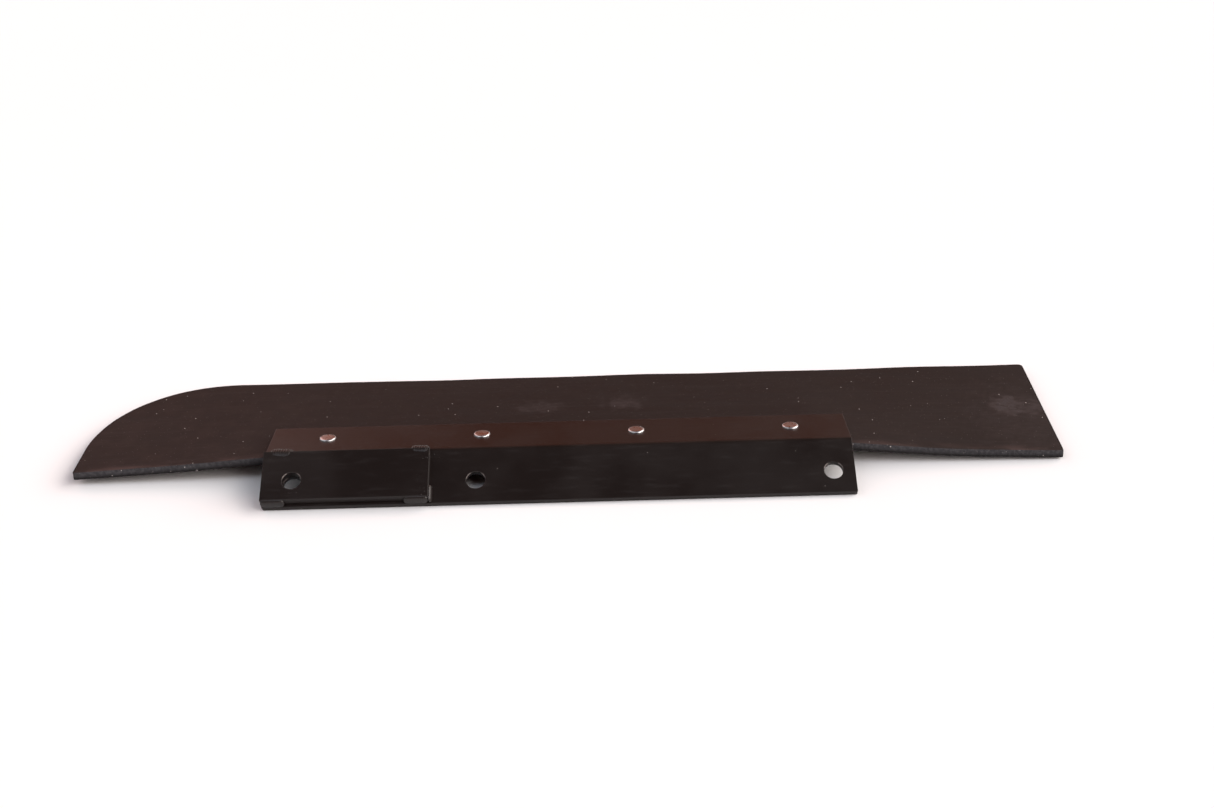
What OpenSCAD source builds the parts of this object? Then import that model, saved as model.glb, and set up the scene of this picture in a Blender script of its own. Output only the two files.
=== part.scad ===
// Rubber flap for an ATV plow blade, riveted under a bent steel mounting bracket.
// The assembly lies at rest on a flat surface: it touches the surface along the lower edge
// of the bracket's web and along the far edge of the rubber. X runs along the bracket,
// Y away from the bolt holes towards the flap's free edge, and Z up. The origin is on the
// surface, at the middle of the assembly's length and width.

/* [Bracket] */
// Length of the bent bracket
bracket_length = 450; // [420:1:500]
// Width of each flange, from the sharp outside corner of the bend
flange_width = 48.5; // [44:0.5:56]
// Thickness of the steel
steel_thickness = 4; // [3:0.5:5]
// Angle that the steel is bent through
bend_angle = 35; // [30:1:42]
// Inside radius of the bend
bend_radius = 3; // [2:0.5:5]
// Radius of the web's rounded corner at the left end
left_corner_r = 3.2; // [1:0.1:6]
// Radius of the web's rounded corner at the right end
right_corner_r = 1.4; // [0.5:0.1:4]

/* [Bolt holes] */
// Diameter of the three bolt holes in the web
bolt_hole_d = 14.3; // [12:0.1:18]
// Distance of the bolt holes' row from the outside corner of the bend
bolt_hole_drop = 28.9; // [24:0.1:32]
// Place of the bolt hole that the doubler plate covers, from the left end
bolt_hole_left = 22.9; // [20:0.1:40]
// Place of the middle bolt hole, from the left end
bolt_hole_middle = 161.7; // [150:0.1:220]
// Distance of the last bolt hole from the right end
bolt_hole_right_inset = 16.5; // [14:0.1:30]

/* [Doubler plate] */
// Length of the doubler plate, from the bracket's left end
doubler_length = 126.5; // [110:0.5:140]
// Thickness of the doubler plate
doubler_thickness = 6.35; // [4:0.05:8]
// Distance of its upper edge from the outside corner of the bend
doubler_top = 2.6; // [2.5:0.1:5]
// Distance of its lower edge from the web's lower edge
doubler_step = 3.0; // [1.5:0.1:6]

/* [Rubber flap] */
// Thickness of the rubber sheet
rubber_thickness = 6; // [5:0.5:8]
// Distance of the flap's free edge from the outside corner of the bend
flap_reach = 157; // [140:1:180]
// Distance of the flap's near edge from the outside corner of the bend
flap_near = 4.5; // [4:0.5:8]
// Length of rubber past the bracket's left end
overhang_left = 152; // [130:0.5:180]
// Length of rubber past the bracket's right end
overhang_right = 169; // [140:0.5:200]
// Length of the rounded left end, along the flap
round_length = 104.5; // [90:0.5:125]
// Depth of the rounded left end, across the flap
round_depth = 116; // [100:1:130]

/* [Rivets] */
// Number of rivets
rivet_count = 4; // [3:1:4]
// Distance from one rivet to the next
rivet_pitch = 120.5; // [110:0.5:125]
// Distance of the rivets' row from the outside corner of the bend
rivet_drop = 25.5; // [22:0.5:28]
// Diameter of the rivet's low head
rivet_head_d = 12.8; // [10:0.2:15]
// Diameter of the rivet's shank
rivet_shank_d = 6.4; // [5:0.2:8]
// Outside diameter of the backing washer
washer_d = 19; // [16:0.5:22]
// Thickness of the backing washer
washer_thickness = 1.6; // [1:0.1:2.5]

/* [Hidden] */
$fn = 64;

// The bend: its outside radius, and how far it takes the flat faces back from the corner.
outside_radius = bend_radius + steel_thickness;
setback = outside_radius * tan(bend_angle / 2);
bend_steps = 14;

// The flange slopes down to the flap's free edge, and the web slopes down the other way.
// Both lowest edges lie on the surface, which fixes the two slopes.
stack = steel_thickness + rubber_thickness;
flange_slope = atan((flange_width * sin(bend_angle) + steel_thickness * cos(bend_angle) - stack)
    / (flap_reach + flange_width * cos(bend_angle) - steel_thickness * sin(bend_angle)));
web_slope = bend_angle - flange_slope;
corner_height = flap_reach * sin(flange_slope) + stack * cos(flange_slope);

// Place of the bracket's left end and of the bend's corner, from the origin.
lowest_face = flange_width - doubler_step;
front_reach = max(flange_width * cos(web_slope),
    lowest_face * cos(web_slope) + doubler_thickness * sin(web_slope));
back_reach = flap_reach * cos(flange_slope) - steel_thickness * sin(flange_slope);
bracket_left = (overhang_left - overhang_right - bracket_length) / 2;
corner_y = (front_reach - back_reach) / 2;

// Bolt holes and rivets, measured from the bracket's left end.
bolt_hole_places = [bolt_hole_left, bolt_hole_middle, bracket_length - bolt_hole_right_inset];
rivet_left = (bracket_length - (rivet_count - 1) * rivet_pitch) / 2;
hole_clearance = 0.05;

// The rivet's low head, and the tail that is set against the washer.
head_height = 1.4;
head_edge = 0.8;
head_flat = 0.72;
tail_d = 10.6;
tail_height = 2.4;

// How the rubber's ends hang: it leaves the flange's plane a little inside the bracket's ends,
// and its height falls off with the distance from there.
sag_inset = 30;
sag_length_left = 165;
sag_length_right = 108;
sag_power = 1.35;
round_power = 2.1;
end_skew = 2.5;
corner_cut = 4;
stations_round = 30;
stations_hang = 12;

// The weld beads' ripples: their depth as a share of the bead, and their pitch.
ripple_depth = 0.12;
ripple_pitch = 2.6;

steel_colour = [0.13, 0.11, 0.11];
paint_colour = [0.20, 0.15, 0.13];
rubber_colour = [0.20, 0.16, 0.15];
zinc_colour = [0.62, 0.58, 0.55];
weld_colour = [0.24, 0.20, 0.19];

// Puts its children in the flange's frame: x from the bracket's left end, y along the flange's
// upper face from the bend's corner, z out of that face.
module on_flange() {
    translate([bracket_left, corner_y, corner_height])
        rotate([-flange_slope, 0, 0])
            children();
}

// Puts its children in the web's frame: x from the bracket's left end, y along the web's
// front face, 0 at the bend's corner and negative downwards, z out of that face.
module on_web() {
    translate([bracket_left, corner_y, corner_height])
        rotate([web_slope, 0, 0])
            children();
}

// Carries a flat outline, drawn across the bracket, along x.
module along_bracket(from, to) {
    translate([from, 0, 0])
        rotate([90, 0, 90])
            linear_extrude(height = to - from)
                children();
}

// Joins equal rings of points along x into one closed solid.
module loft(rings) {
    count = len(rings);
    size = len(rings[0]);
    sides = [for (i = [0 : count - 2], j = [0 : size - 1])
        let (a = size * i + j, b = size * i + (j + 1) % size)
        each [[a, a + size, b + size], [a, b + size, b]]];
    first = [for (j = [0 : size - 1]) j];
    last = [for (j = [size - 1 : -1 : 0]) size * (count - 1) + j];
    polyhedron(points = [for (ring = rings) each ring], faces = concat(sides, [first, last]), convexity = 4);
}

// ---- Bent bracket ----

// Points on an arc round the bend's centre, from the flange's side to the web's.
function bend_arc(radius) =
    [for (i = [0 : bend_steps])
        let (turn = bend_angle * i / bend_steps)
        [setback - radius * sin(turn), radius * cos(turn) - outside_radius]];

// A point of the web, given in the web's own frame, as it lies in the flange's frame.
function from_web(y, z) =
    [y * cos(bend_angle) - z * sin(bend_angle), y * sin(bend_angle) + z * cos(bend_angle)];

// The bent section: along the outside from the flange to the web, then back along the inside.
module bent_outline() {
    inside = bend_arc(bend_radius);
    polygon(concat(
        [[flange_width, -steel_thickness], [flange_width, 0]],
        bend_arc(outside_radius),
        [from_web(-flange_width, 0), from_web(-flange_width, -steel_thickness)],
        [for (i = [bend_steps : -1 : 0]) inside[i]]));
}

module bolt_hole(place, depth_below, height) {
    translate([place, -bolt_hole_drop, -depth_below])
        cylinder(d = bolt_hole_d, h = height, $fn = 96);
}

module rivet_hole(place, depth_below, height) {
    translate([place, rivet_drop, -depth_below])
        cylinder(d = rivet_shank_d + 2 * hole_clearance, h = height, $fn = 48);
}

module bent_steel() {
    on_flange()
        along_bracket(0, bracket_length)
            bent_outline();
}

// What a rounded corner takes off the web: the square corner less a circle, through the steel.
module corner_waste(radius) {
    translate([0, -flange_width, -steel_thickness - 1])
        linear_extrude(height = steel_thickness + 2)
            difference() {
                translate([-1, -1])
                    square(radius + 1);
                translate([radius, radius])
                    circle(r = radius);
            }
}

module mounting_bracket() {
    color(paint_colour)
        difference() {
            bent_steel();
            on_web()
                corner_waste(left_corner_r);
            on_web()
                translate([bracket_length, 0, 0])
                    mirror([1, 0, 0])
                        corner_waste(right_corner_r);
            on_web()
                for (place = bolt_hole_places)
                    bolt_hole(place, steel_thickness + 1, steel_thickness + 2);
            on_flange()
                for (i = [0 : rivet_count - 1])
                    rivet_hole(rivet_left + i * rivet_pitch, steel_thickness + 1, steel_thickness + 2);
        }
}

// ---- Doubler plate ----

module doubler_plate() {
    color(steel_colour)
        on_web()
            difference() {
                translate([0, -lowest_face, 0])
                    cube([doubler_length, lowest_face - doubler_top, doubler_thickness]);
                bolt_hole(bolt_hole_left, 1, doubler_thickness + 2);
            }
}

// ---- Rubber flap ----

// Share of the flange's height that the rubber keeps at a distance x from the bracket's left end.
function hang(x) =
    x < sag_inset ? exp(-pow((sag_inset - x) / sag_length_left, sag_power)) :
    x > bracket_length - sag_inset
        ? exp(-pow((x - bracket_length + sag_inset) / sag_length_right, sag_power)) :
    1;

// Distance of the free edge from the bend's corner: a superellipse quarter at the left end,
// then straight, then a small cut corner at the right end.
function free_edge(x) =
    let (u = (-overhang_left + round_length - x) / round_length)
    let (v = x - (bracket_length + overhang_right - corner_cut))
    u > 0 ? flap_reach - round_depth + round_depth * pow(1 - pow(min(u, 1), round_power), 1 / round_power) :
    v > 0 ? flap_reach - corner_cut + sqrt(max(0, pow(corner_cut, 2) - pow(v, 2))) :
    flap_reach;

// Point of the rubber at a distance x along, y across and down into the stack.
function rubber_point(x, y, down) = [
    bracket_left + x,
    corner_y + y * cos(flange_slope) - down * sin(flange_slope),
    (stack - down) * cos(flange_slope) + hang(x) * (flap_reach - y) * sin(flange_slope)
];

// The right end is cut slightly out of square: the near edge is shorter than the far one.
function skewed(x, y) =
    x > bracket_length ? x - end_skew * (1 - y / flap_reach) * (x - bracket_length) / overhang_right : x;

// One ring of four points round the sheet: near top, far top, far bottom, near bottom.
function sheet_ring(x) =
    let (far = free_edge(x))
    [rubber_point(skewed(x, flap_near), flap_near, steel_thickness),
     rubber_point(skewed(x, far), far, steel_thickness),
     rubber_point(skewed(x, far), far, stack),
     rubber_point(skewed(x, flap_near), flap_near, stack)];

// Stations along the sheet, closer together on the rounded end and where the rubber hangs.
round_stations = [for (i = [0 : stations_round]) -overhang_left + round_length * (1 - cos(90 * i / stations_round))];
hang_left_stations = [for (i = [1 : stations_hang])
    -overhang_left + round_length + (overhang_left - round_length + sag_inset) * i / stations_hang];
hang_right_stations = [for (i = [0 : stations_hang])
    bracket_length - sag_inset + (overhang_right + sag_inset - corner_cut) * i / stations_hang];
corner_stations = [for (i = [1 : 6]) bracket_length + overhang_right - corner_cut * (1 - sin(15 * i))];
stations = concat(round_stations, hang_left_stations, hang_right_stations, corner_stations);

module rubber_flap() {
    color(rubber_colour)
        difference() {
            loft([for (x = stations) sheet_ring(x)]);
            on_flange()
                for (i = [0 : rivet_count - 1])
                    rivet_hole(rivet_left + i * rivet_pitch, stack + 1, rubber_thickness + 2);
        }
}

// ---- Rivets and their washers ----

// Half of the rivet's section, from the low head down through the stack to the set tail.
module rivet_section() {
    shank = rivet_shank_d / 2;
    under = -(stack + washer_thickness);
    polygon([[0, head_height], [head_flat * rivet_head_d / 2, head_height],
             [rivet_head_d / 2, head_edge], [rivet_head_d / 2, 0],
             [shank, 0], [shank, under],
             [tail_d / 2, under], [tail_d / 2, under - 0.4 * tail_height],
             [0.6 * tail_d / 2, under - tail_height], [0, under - tail_height]]);
}

module rivet(index) {
    color(zinc_colour)
        on_flange()
            translate([rivet_left + index * rivet_pitch, rivet_drop, 0])
                rotate_extrude($fn = 64)
                    rivet_section();
}

module backing_washer(index) {
    color(zinc_colour)
        on_flange()
            translate([rivet_left + index * rivet_pitch, rivet_drop, -stack - washer_thickness])
                difference() {
                    cylinder(d = washer_d, h = washer_thickness);
                    translate([0, 0, -1])
                        cylinder(d = rivet_shank_d + 2 * hole_clearance, h = washer_thickness + 2);
                }
}

module rivet_1() { rivet(0); }
module rivet_2() { rivet(1); }
module rivet_3() { rivet(2); }
module rivet_4() { rivet(3); }
module backing_washer_1() { backing_washer(0); }
module backing_washer_2() { backing_washer(1); }
module backing_washer_3() { backing_washer(2); }
module backing_washer_4() { backing_washer(3); }

// ---- Weld beads ----

// Size of a bead's section at a share t of its length: full in the middle, small at the ends,
// with a ripple for each puddle of the weld.
function bead_size(t, length) =
    (0.3 + 0.7 * sqrt(1 - pow(abs(2 * t - 1), 3)))
    * (1 - ripple_depth * (1 - cos(360 * t * length / ripple_pitch)) / 2);

// A fillet bead along x, in the corner between the web's face (z = 0) and a plate's edge (y = 0).
// rise is its height up the plate's edge, and run its width on the web.
function fillet_ring(x, size, rise, run) =
    [for (p = [[0, 0], [0, rise], [-0.55 * run, 0.97 * rise], [-1.05 * run, 0.72 * rise],
               [-1.25 * run, 0.38 * rise], [-run, 0]])
        [x, size * p[0], size * p[1]]];

module fillet_bead(length, rise, run) {
    steps = 4 * ceil(length / ripple_pitch);
    color(weld_colour)
        loft([for (i = [0 : steps]) fillet_ring(length * i / steps, bead_size(i / steps, length), rise, run)]);
}

// A bead over the doubler's upper front corner, down to the bend and onto the flange.
function corner_ring(x, size) =
    let (step = bend_angle / 4)
    let (reach = outside_radius / cos(step / 2))
    let (down_to_bend = [for (i = [0 : 3])
        [x, reach * sin(i * step) - setback, reach * cos(i * step) - outside_radius]])
    let (on_flange = [for (s = [setback + 0.4, setback + 0.4 + 2.4 * size])
        [x, s * cos(bend_angle), -s * sin(bend_angle)]])
    let (over = [for (p = [[4.6, -4.4], [2.9, -2.0], [1.2, -0.1], [-0.6, 0.7], [-2.6, 0.7], [-4.4, 0]])
        [x, size * p[0] - doubler_top, size * p[1] + doubler_thickness]])
    concat([[x, -doubler_top, doubler_thickness], [x, -doubler_top, 0]], down_to_bend, on_flange, over);

module corner_bead(from, length) {
    steps = 4 * ceil(length / ripple_pitch);
    color(weld_colour)
        on_web()
            translate([from, 0, 0])
                loft([for (i = [0 : steps]) corner_ring(length * i / steps, bead_size(i / steps, length))]);
}

module weld_top_left() { corner_bead(4.6, 17.3); }
module weld_top_right() { corner_bead(112, 14.3); }

module weld_bottom_left() {
    on_web()
        translate([0.3, -lowest_face, 0])
            fillet_bead(18.5, 5.8, 2.4);
}

module weld_bottom_right() {
    on_web()
        translate([108, -lowest_face, 0])
            fillet_bead(18.3, 5.6, 2.4);
}

module weld_end() {
    on_web()
        translate([doubler_length, 0.3 - flange_width, 0])
            rotate([0, 0, 90])
                fillet_bead(14, 5, 2.2);
}

rubber_flap();
mounting_bracket();
doubler_plate();
rivet_1();
rivet_2();
rivet_3();
rivet_4();
backing_washer_1();
backing_washer_2();
backing_washer_3();
backing_washer_4();
weld_top_left();
weld_top_right();
weld_bottom_left();
weld_bottom_right();
weld_end();
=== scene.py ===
# %% [markdown]
# # The rubber flap of a plow blade, riveted to its bent steel bracket
#
# The part lies on a pale floor: a long sheet of black rubber, a bent steel bracket that holds it by
# four rivets, and a doubler plate welded over the bracket's end hole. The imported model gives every
# piece its place. Here each gets the shape that shows close up, such as rolled edges, sagging rubber
# and rippled welds, and a finish made of nodes. Everything is in metres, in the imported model's own
# frame: X runs along the bracket, Y away from the bolt holes, and Z up.

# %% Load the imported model
import math

import bmesh
import bpy
import numpy as np
from mathutils import Matrix, Vector


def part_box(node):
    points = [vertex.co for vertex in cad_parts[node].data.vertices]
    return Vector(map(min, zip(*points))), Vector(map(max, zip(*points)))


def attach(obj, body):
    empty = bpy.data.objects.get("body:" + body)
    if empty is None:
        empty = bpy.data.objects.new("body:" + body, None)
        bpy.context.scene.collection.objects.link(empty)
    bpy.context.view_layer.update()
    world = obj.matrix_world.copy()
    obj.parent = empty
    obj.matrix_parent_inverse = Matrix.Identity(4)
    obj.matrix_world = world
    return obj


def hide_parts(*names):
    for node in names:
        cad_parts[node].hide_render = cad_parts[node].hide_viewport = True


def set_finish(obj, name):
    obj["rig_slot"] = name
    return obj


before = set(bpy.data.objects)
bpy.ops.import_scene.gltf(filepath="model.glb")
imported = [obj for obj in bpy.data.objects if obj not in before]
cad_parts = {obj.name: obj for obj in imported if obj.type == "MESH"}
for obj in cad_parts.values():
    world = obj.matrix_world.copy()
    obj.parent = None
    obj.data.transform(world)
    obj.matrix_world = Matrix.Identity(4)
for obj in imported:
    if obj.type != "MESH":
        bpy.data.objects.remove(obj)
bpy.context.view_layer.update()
print("nodes:", ", ".join(sorted(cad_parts)))

# %% [markdown]
# ## The two slopes of the bent bracket
#
# The bracket is a strip of flat steel bent once. Its upper leg, the flange, slopes down to the
# rubber's free edge, and its other leg, the web, slopes down towards the bolt holes' side. Both end
# on the floor, so the slopes follow from the widths. The places along X come from the boxes of the
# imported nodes.

# %% Name the sizes of the steel and the rubber
MM = 0.001
flange_width = 48.5 * MM
steel = 4 * MM
bend_angle = math.radians(35)
bend_radius = 3 * MM
rubber = 6 * MM
flap_reach = 157 * MM
flap_near = 4.5 * MM
stack = steel + rubber

flange_slope = math.atan(
    (flange_width * math.sin(bend_angle) + steel * math.cos(bend_angle) - stack)
    / (flap_reach + flange_width * math.cos(bend_angle) - steel * math.sin(bend_angle)))
web_slope = bend_angle - flange_slope
outside_radius = bend_radius + steel
setback = outside_radius * math.tan(bend_angle / 2)

bracket_low, bracket_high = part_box("mounting_bracket")
flap_low, flap_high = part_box("rubber_flap")
bracket_length = bracket_high.x - bracket_low.x
corner_z = flap_reach * math.sin(flange_slope) + stack * math.cos(flange_slope)
corner_y = flap_high.y - flap_reach * math.cos(flange_slope) + steel * math.sin(flange_slope)
print("slopes of flange and web in degrees:",
      [round(math.degrees(slope), 2) for slope in (flange_slope, web_slope)])
print("bend corner at y", round(corner_y / MM, 2), "z", round(corner_z / MM, 2), "mm")


# %% Carry points from the flange's and the web's own frames
def flange_point(x, along, out):
    """Row-frame points: x from the bracket's left end, along the flange's upper face from the
    bend's corner, and out of that face. The flange's axes are the row's, turned down by its slope."""
    x, along, out = np.broadcast_arrays(x, along, out)
    c, s = math.cos(flange_slope), math.sin(flange_slope)
    return np.stack([bracket_low.x + x, corner_y + along * c + out * s, corner_z - along * s + out * c], -1)


def web_point(x, along, out):
    """The same for the web: along is 0 at the bend's corner and negative towards the lower edge."""
    x, along, out = np.broadcast_arrays(x, along, out)
    c, s = math.cos(web_slope), math.sin(web_slope)
    return np.stack([bracket_low.x + x, corner_y + along * c - out * s, corner_z + along * s + out * c], -1)


print("lower edge of the web at z", round(float(web_point(0.0, -flange_width, -steel)[2]) / MM, 3), "mm")

# %% [markdown]
# ## The camera
#
# The camera stands in front of the bolt holes, about 1.35 m away, and looks down at the part. A 50 mm
# lens keeps the long flap from bowing. A small roll tips the part's long edges a little.

# %% Place the camera
camera_place = Vector((0.0240, -1.1833, 0.6646))
camera_pitch = math.radians(28.15)
camera_yaw = math.radians(0.27)
camera_roll = math.radians(-1.425)

camera = bpy.data.objects.new("camera", bpy.data.cameras.new("camera"))
camera.data.lens = 50
camera.data.sensor_width = 36
bpy.context.scene.collection.objects.link(camera)
bpy.context.scene.camera = camera
level = Matrix.Rotation(-camera_yaw, 4, "Z") @ Matrix.Rotation(math.pi / 2 - camera_pitch, 4, "X")
camera.matrix_world = Matrix.Translation(camera_place) @ level @ Matrix.Rotation(camera_roll, 4, "Z")
print("camera looks along", [round(c, 3) for c in -camera.matrix_world.col[2].xyz])

# %% [markdown]
# ## Making a mesh from whole arrays
#
# A grid of points becomes a surface when each square of neighbours becomes a face. With the vertex
# numbers laid out in the same grid, four shifted copies of it are the corners of all the faces at
# once, so no loop is needed. A closed row repeats its first column at the end.

# %% Helpers for grids and pieces
def grid_faces(numbers, closed=False):
    """Faces between neighbours of a grid of vertex numbers. closed joins the last column to the first."""
    if closed:
        numbers = np.concatenate([numbers, numbers[:, :1]], axis=1)
    corners = [numbers[:-1, :-1], numbers[:-1, 1:], numbers[1:, 1:], numbers[1:, :-1]]
    return np.stack(corners, -1).reshape(-1, 4)


def number_grid(points, first=0):
    """Vertex numbers from first on, laid out in the same grid as the points."""
    return first + np.arange(points[..., 0].size).reshape(points.shape[:-1])


def make_piece(name, points, faces, replaced=(), slot=None, sharp=40, marks=None):
    """A mesh object from points and faces. It rides on the part's one body and stands for the CAD
    nodes in replaced. marks are named values, one for each point, for the materials to read."""
    mesh = bpy.data.meshes.new(name)
    places = np.asarray(points, float).reshape(-1, 3)
    mesh.from_pydata(places.tolist(), [], [list(map(int, f)) for f in faces])
    mesh.validate()
    mesh.shade_smooth()
    mesh.set_sharp_from_angle(angle=math.radians(sharp))
    for mark, values in (marks or {}).items():
        layer = mesh.attributes.new(mark, "FLOAT", "POINT")
        layer.data.foreach_set("value", np.asarray(values, np.float32).ravel())
    piece = bpy.data.objects.new(name, mesh)
    bpy.context.scene.collection.objects.link(piece)
    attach(piece, "root")
    if replaced:
        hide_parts(*replaced)
    if slot:
        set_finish(piece, slot)
    print(f"{name}: {len(mesh.vertices)} points, {len(mesh.polygons)} faces")
    return piece


def face_outwards(piece):
    """Turns any face of a closed mesh that points inwards."""
    shape = bmesh.new()
    shape.from_mesh(piece.data)
    bmesh.ops.remove_doubles(shape, verts=shape.verts, dist=1e-7)
    bmesh.ops.recalc_face_normals(shape, faces=shape.faces)
    print(f"{piece.name}: volume {shape.calc_volume() * 1e6:.2f} cm3,",
          sum(not e.is_manifold for e in shape.edges), "open edges")
    shape.to_mesh(piece.data)
    shape.free()


# %% [markdown]
# ## Steel bars with punched holes
#
# The edges of sheared steel are rolled over by a few tenths of a millimetre, and paint rounds them
# more. That thin rounding catches light, so it has to be in the mesh. The bar is one closed outline
# carried along X, and at both ends it draws in over a quarter circle.
#
# A hole could be cut by a Boolean, but that leaves long thin faces that shade badly. Here it is a
# tunnel: a square window is left open in the front and the back of the bar, and one grid of spokes
# and rings runs from the front window in to the round rim, down the wall and out to the back window.

# %% Outline pieces with their outward normals
def arc(centre, radius, from_turn, to_turn, steps, inward=False):
    """Points on an arc, turns counted anticlockwise from the first axis. On an inner bend the solid is
    outside the arc, so its outward normal points to the centre."""
    turn = np.linspace(from_turn, to_turn, steps + 1)
    spoke = np.stack([np.cos(turn), np.sin(turn)], -1)
    return np.asarray(centre) + radius * spoke, -spoke if inward else spoke


def turned(points, angle):
    """Points or normals turned anticlockwise by an angle."""
    c, s = math.cos(angle), math.sin(angle)
    return points @ np.array([[c, s], [-s, c]])


def join(parts):
    """One closed outline from its parts, without the points that two neighbours share."""
    points = np.concatenate([p for p, _ in parts])
    normals = np.concatenate([n for _, n in parts])
    keep = np.linalg.norm(points - np.roll(points, 1, axis=0), axis=1) > 1e-7
    return points[keep], normals[keep]


def quarter(distance, radius):
    """How far a quarter circle falls back from its side, at a distance from the square end."""
    return radius - np.sqrt(radius ** 2 - np.clip(radius - distance, 0, radius) ** 2)


# %% Places along a side: a support point close to each end, and even steps across a window
support = 0.35 * MM
hole_radius = 7.15 * MM
hole_rim = 0.45 * MM
hole_drop = 28.9 * MM
window_half = 10 * MM
window_steps = 16
edge_radius = 0.5 * MM
end_round = 0.3 * MM
bar_step = 9 * MM
web_step = 0.9 * MM
flat_step = 6 * MM


def side_places(low, high, windows, step):
    """Coordinates from low to high: one close to each end, window_steps even steps over every
    window (its middle is given), and steps no longer than step in between."""
    stops = [low, low + support]
    for middle in sorted(windows):
        stops += [middle - window_half, middle + window_half]
    stops += [high - support, high]
    values = [low]
    for a, b in zip(stops[:-1], stops[1:]):
        in_window = any(abs((a + b) / 2 - middle) < 1e-6 for middle in windows)
        count = window_steps if in_window else max(1, math.ceil((b - a) / step))
        values += list(np.linspace(a, b, count + 1)[1:])
    return np.array(values)


# %% The bar with holes
def tunnel_rings(front, back, centre_front, centre_back, out_axis, thickness):
    """Rings from the front window to the back one. Each is made from the window's own points: first
    the points are drawn in towards the hole's circle, then they follow the rim's quarter circle, the
    wall, the other rim, and go out again."""
    rim = hole_rim
    spoke_front = front - centre_front
    spoke = spoke_front / np.linalg.norm(spoke_front, axis=1, keepdims=True)
    circle_front = centre_front + spoke * (hole_radius + rim)
    circle_back = centre_back + spoke * (hole_radius + rim)
    shares = np.array([0.35, 0.65, 0.86, 0.96])
    rings = [front * (1 - s) + circle_front * s for s in shares] + [circle_front]
    turns = np.linspace(0, math.pi / 2, 5)[1:]
    drawn = [(spoke * rim * math.sin(t), out_axis * rim * (1 - math.cos(t))) for t in turns]
    rings += [circle_front - inwards - sunk for inwards, sunk in drawn]
    rings += [circle_front - spoke * rim - out_axis * thickness * s for s in (0.35, 0.65)]
    rings += [circle_back - inwards + sunk for inwards, sunk in drawn[::-1]]
    rings += [circle_back] + [back * (1 - s) + circle_back * s for s in shares[::-1]]
    return np.array(rings)


def bar_with_holes(name, outline, normals, carry, length, hole_xs, front_rows, back_rows, frame_of, slot,
                   replaced):
    """Carries an outline along x from 0 to length, with rounded ends, and opens a tunnel at each hole.
    front_rows and back_rows are the outline's points at the windows' edges, in matching order.
    carry turns (x, outline point) into the row frame, and frame_of gives a hole's centre and axis.
    The points carry "edge": 1 on rounded edges, and up to 2 on the upper left and right arcs of a front
    rim, which are painted as bare steel: partly wear and partly a painted highlight where the rim catches
    light."""
    turns = np.linspace(0, math.pi / 2, 5)[:-1]
    xs = side_places(end_round, length - end_round, hole_xs, bar_step)
    from_end = end_round * (1 - np.cos(turns))
    xs = np.concatenate([from_end, xs, length - from_end[::-1]])
    draw_in = np.zeros(len(xs))
    draw_in[:4] = end_round * (1 - np.sin(turns))
    draw_in[-4:] = draw_in[:4][::-1]
    sections = outline[None] - normals[None] * draw_in[:, None, None]
    points = carry(xs[:, None], sections[..., 0], sections[..., 1])
    numbers = number_grid(points)
    faces = grid_faces(numbers, closed=True)
    keep = np.ones(len(faces), bool).reshape(len(xs) - 1, -1)
    flat = points.reshape(-1, 3)
    extra_points, extra_faces, count = [], [], len(flat)
    wear = np.abs(np.roll(normals, 1, 0) - np.roll(normals, -1, 0)).sum(1) > 0.3
    marks = np.maximum(wear[None] * 1.0, (draw_in > 0)[:, None] * 1.0) * np.ones(points.shape[:2])
    extra_marks = []
    for middle in hole_xs:
        i0 = int(np.argmin(abs(xs - (middle - window_half))))
        i1 = int(np.argmin(abs(xs - (middle + window_half))))
        loops = []
        for rows in (front_rows, back_rows):
            j0, j1 = rows[0], rows[-1]
            keep[i0:i1, min(j0, j1):max(j0, j1)] = False
            loops.append(np.concatenate([numbers[i0:i1, j0], numbers[i1, rows[:-1]],
                                         numbers[i1:i0:-1, j1], numbers[i0, rows[:0:-1]]]))
        centre_front, centre_back, out_axis, thickness = frame_of(middle)
        rings = tunnel_rings(flat[loops[0]], flat[loops[1]], centre_front, centre_back, out_axis, thickness)
        ring_numbers = number_grid(rings, count)
        extra_points.append(rings.reshape(-1, 3))
        # The upper left and right arcs of the front rim get bare steel: partly wear, partly a painted
        # highlight where the rim catches light.
        side, above = ((rings[4] - centre_front) / (hole_radius + hole_rim))[:, [0, 2]].T
        rim_wear_and_glint = np.clip((np.abs(side) - 0.4) / 0.25, 0, 1)
        rim_wear_and_glint = rim_wear_and_glint * np.clip((above / math.sin(web_slope) - 0.05) / 0.3, 0, 1)
        ring_mark = np.zeros(rings.shape[:2])
        ring_mark[4:9] = 1 + rim_wear_and_glint
        ring_mark[11:16] = 1
        extra_marks.append(ring_mark.ravel())
        tunnel = np.concatenate([loops[0][None], ring_numbers, loops[1][None]])
        extra_faces.append(grid_faces(tunnel, closed=True))
        count += ring_numbers.size
    faces = [list(f) for f in np.concatenate([faces[keep.ravel()], *extra_faces])]
    faces += [list(numbers[0][::-1]), list(numbers[-1])]
    piece = make_piece(name, np.concatenate([flat, *extra_points]), faces, replaced, slot,
                       marks={"edge": np.concatenate([marks.ravel(), *extra_marks])})
    face_outwards(piece)
    return piece


# %% [markdown]
# ## The mounting bracket
#
# On the real part this is a strip of 4 mm steel, punched, bent once along its length in a press
# and then painted. The outline below is drawn in the flange's frame: over the outside from the web's
# lower edge to the flange's far edge, and back along the inside.

# %% Build the mounting bracket
def flat_side(values, out, sign):
    """Points at these places along a flat side that lies at height out, and normals (0, sign)."""
    level = np.zeros_like(values)
    return np.stack([values, level + out], -1), np.stack([level, level + sign], -1)


def web_side(low, high, out, sign):
    """The web's front or back side between two distances from the corner, in the flange's frame."""
    values = side_places(low, high, [-hole_drop], web_step)
    points, normals = flat_side(values, out, sign)
    return turned(points, bend_angle), turned(normals, bend_angle), values


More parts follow.
